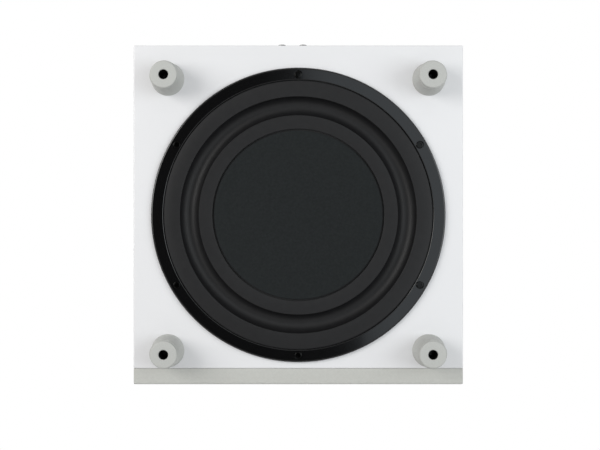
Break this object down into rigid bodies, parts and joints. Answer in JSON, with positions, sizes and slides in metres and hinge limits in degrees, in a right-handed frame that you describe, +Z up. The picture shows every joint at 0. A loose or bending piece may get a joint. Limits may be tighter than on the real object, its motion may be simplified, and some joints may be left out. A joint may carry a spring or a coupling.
{
  "type": "powered subwoofer",
  "caption": "Compact white powered subwoofer cabinet on tapered feet, with a downward passive radiator, a driver behind a cloth grille and a rear amplifier plate.",
  "frame": {"origin": "centre of the bottom of the whole object's box, on the surface the feet stand on", "axes": "+X to the right seen from the front, +Y to the back where the amplifier plate is, +Z up; the grille faces -Y"},
  "size_m": [0.35, 0.377, 0.386],
  "materials": {
    "white_lacquer": "satin white lacquer on fibreboard, rounded edges",
    "bare_board": "bare medium-density fibreboard",
    "wadding": "loose polyester wadding",
    "foot_grey": "moulded light grey plastic, fine grain",
    "grille_cloth": "light grey woven acoustic cloth, stretched",
    "grille_board": "moulded frame, matte",
    "black_moulding": "black moulded plastic, fine texture",
    "gloss_black": "piano-gloss black ring",
    "black_steel": "blackened steel fasteners",
    "cast_basket": "die-cast alloy, black powder coat",
    "rubber": "satin butyl rubber",
    "cone_pulp": "pressed and coated pulp cone",
    "woven_disc": "flat woven facing, dark blue-green grey",
    "suspension_cloth": "resin-treated cotton, rippled",
    "coil_former": "thin rolled sheet",
    "copper_wire": "enamelled copper",
    "zinc_steel": "zinc-plated turned steel",
    "ferrite": "sintered ferrite, ground faces",
    "fibre_strip": "paper-based laminate with brass blades",
    "red_insulation": "soft insulated lead",
    "black_plate": "black powder-coated aluminium",
    "black_anodised": "black anodised extrusion",
    "circuit_board": "green solder mask on glass laminate",
    "winding_tape": "yellow-taped winding on a ferrite core",
    "capacitor_sleeve": "shrink sleeve on an aluminium can",
    "nickel": "nickel-plated sockets",
    "switch_white": "moulded lever",
    "can_steel": "plated pot and switch cans",
    "lens_clear": "clear moulded window"
  },
  "bodies": {
    "cabinet": {"cabinet_top": "white_lacquer", "cabinet_bottom": "white_lacquer", "cabinet_side_left": "white_lacquer", "cabinet_side_right": "white_lacquer", "cabinet_front_baffle": "white_lacquer", "cabinet_back": "white_lacquer", "cabinet_brace": "bare_board", "acoustic_wadding": "wadding", "foot_front_left": "foot_grey", "foot_front_right": "foot_grey", "foot_back_left": "foot_grey", "foot_back_right": "foot_grey", "foot_screws": "black_steel", "grille_cups": "rubber", "rim_screws": "black_steel", "radiator_trim_ring": "gloss_black", "radiator_frame": "cast_basket", "radiator_edge_ring": "rubber", "radiator_surround": "rubber", "radiator_spider": "suspension_cloth", "driver_frame": "cast_basket", "driver_edge_ring": "rubber", "driver_surround": "rubber", "driver_spider": "suspension_cloth", "top_plate": "zinc_steel", "ferrite_magnet": "ferrite", "pole_piece": "zinc_steel", "terminal_strip": "fibre_strip", "tinsel_leads": "copper_wire", "speaker_wires": "red_insulation", "amp_plate": "black_plate", "amp_screws": "black_steel", "amp_tub": "black_moulding", "heat_sink": "black_anodised", "amp_board": "circuit_board", "power_transformer": "winding_tape", "filter_capacitors": "capacitor_sleeve", "mains_inlet": "black_moulding", "rocker_housing": "black_moulding", "rca_sockets": "nickel", "control_pots": "can_steel", "switch_bodies": "can_steel", "status_lens": "lens_clear"},
    "radiator": {"radiator_cone": "cone_pulp", "radiator_disc": "woven_disc", "radiator_neck": "fibre_strip", "radiator_weight": "zinc_steel"},
    "driver_moving": {"driver_cone": "cone_pulp", "driver_dust_cap": "cone_pulp", "voice_coil_former": "coil_former", "voice_coil_winding": "copper_wire"},
    "grille": {"grille_frame": "grille_board", "grille_cloth": "grille_cloth", "grille_pegs": "black_moulding"},
    "gain_knob": {"gain_knob": "black_moulding"},
    "crossover_knob": {"crossover_knob": "black_moulding"},
    "phase_lever": {"phase_lever": "switch_white"},
    "mode_lever": {"mode_lever": "switch_white"},
    "power_rocker": {"power_rocker": "black_moulding"},
    "fuse_drawer": {"fuse_drawer": "black_moulding"}
  },
  "joints": [
    {"name": "radiator_stroke", "type": "slide", "parent": "cabinet", "child": "radiator", "axis": [0, 0, 1], "range_m": [-0.01, 0.01], "stiffness_N_per_m": 3000, "springref_m": 0.0012, "deforming": ["radiator_surround", "radiator_spider"]},
    {"name": "driver_stroke", "type": "slide", "parent": "cabinet", "child": "driver_moving", "axis": [0, 1, 0], "range_m": [-0.008, 0.008], "stiffness_N_per_m": 2500, "deforming": ["driver_surround", "driver_spider", "tinsel_leads"]},
    {"name": "grille_pull_off", "type": "slide", "parent": "cabinet", "child": "grille", "axis": [0, -1, 0], "range_m": [0, 0.012]},
    {"name": "gain_turn", "type": "hinge", "parent": "cabinet", "child": "gain_knob", "pos_m": [0.072, 0.1745, 0.31], "axis": [0, 1, 0], "range_deg": [-150, 150]},
    {"name": "crossover_turn", "type": "hinge", "parent": "cabinet", "child": "crossover_knob", "pos_m": [0.022, 0.1745, 0.31], "axis": [0, 1, 0], "range_deg": [-150, 150]},
    {"name": "phase_switch_slide", "type": "slide", "parent": "cabinet", "child": "phase_lever", "axis": [1, 0, 0], "range_m": [-0.006, 0]},
    {"name": "mode_switch_slide", "type": "slide", "parent": "cabinet", "child": "mode_lever", "axis": [1, 0, 0], "range_m": [-0.006, 0]},
    {"name": "power_switch_tilt", "type": "hinge", "parent": "cabinet", "child": "power_rocker", "pos_m": [-0.082, 0.1735, 0.184], "axis": [1, 0, 0], "range_deg": [-18, 0]},
    {"name": "fuse_drawer_slide", "type": "slide", "parent": "cabinet", "child": "fuse_drawer", "axis": [0, 1, 0], "range_m": [0, 0.015]}
  ]
}
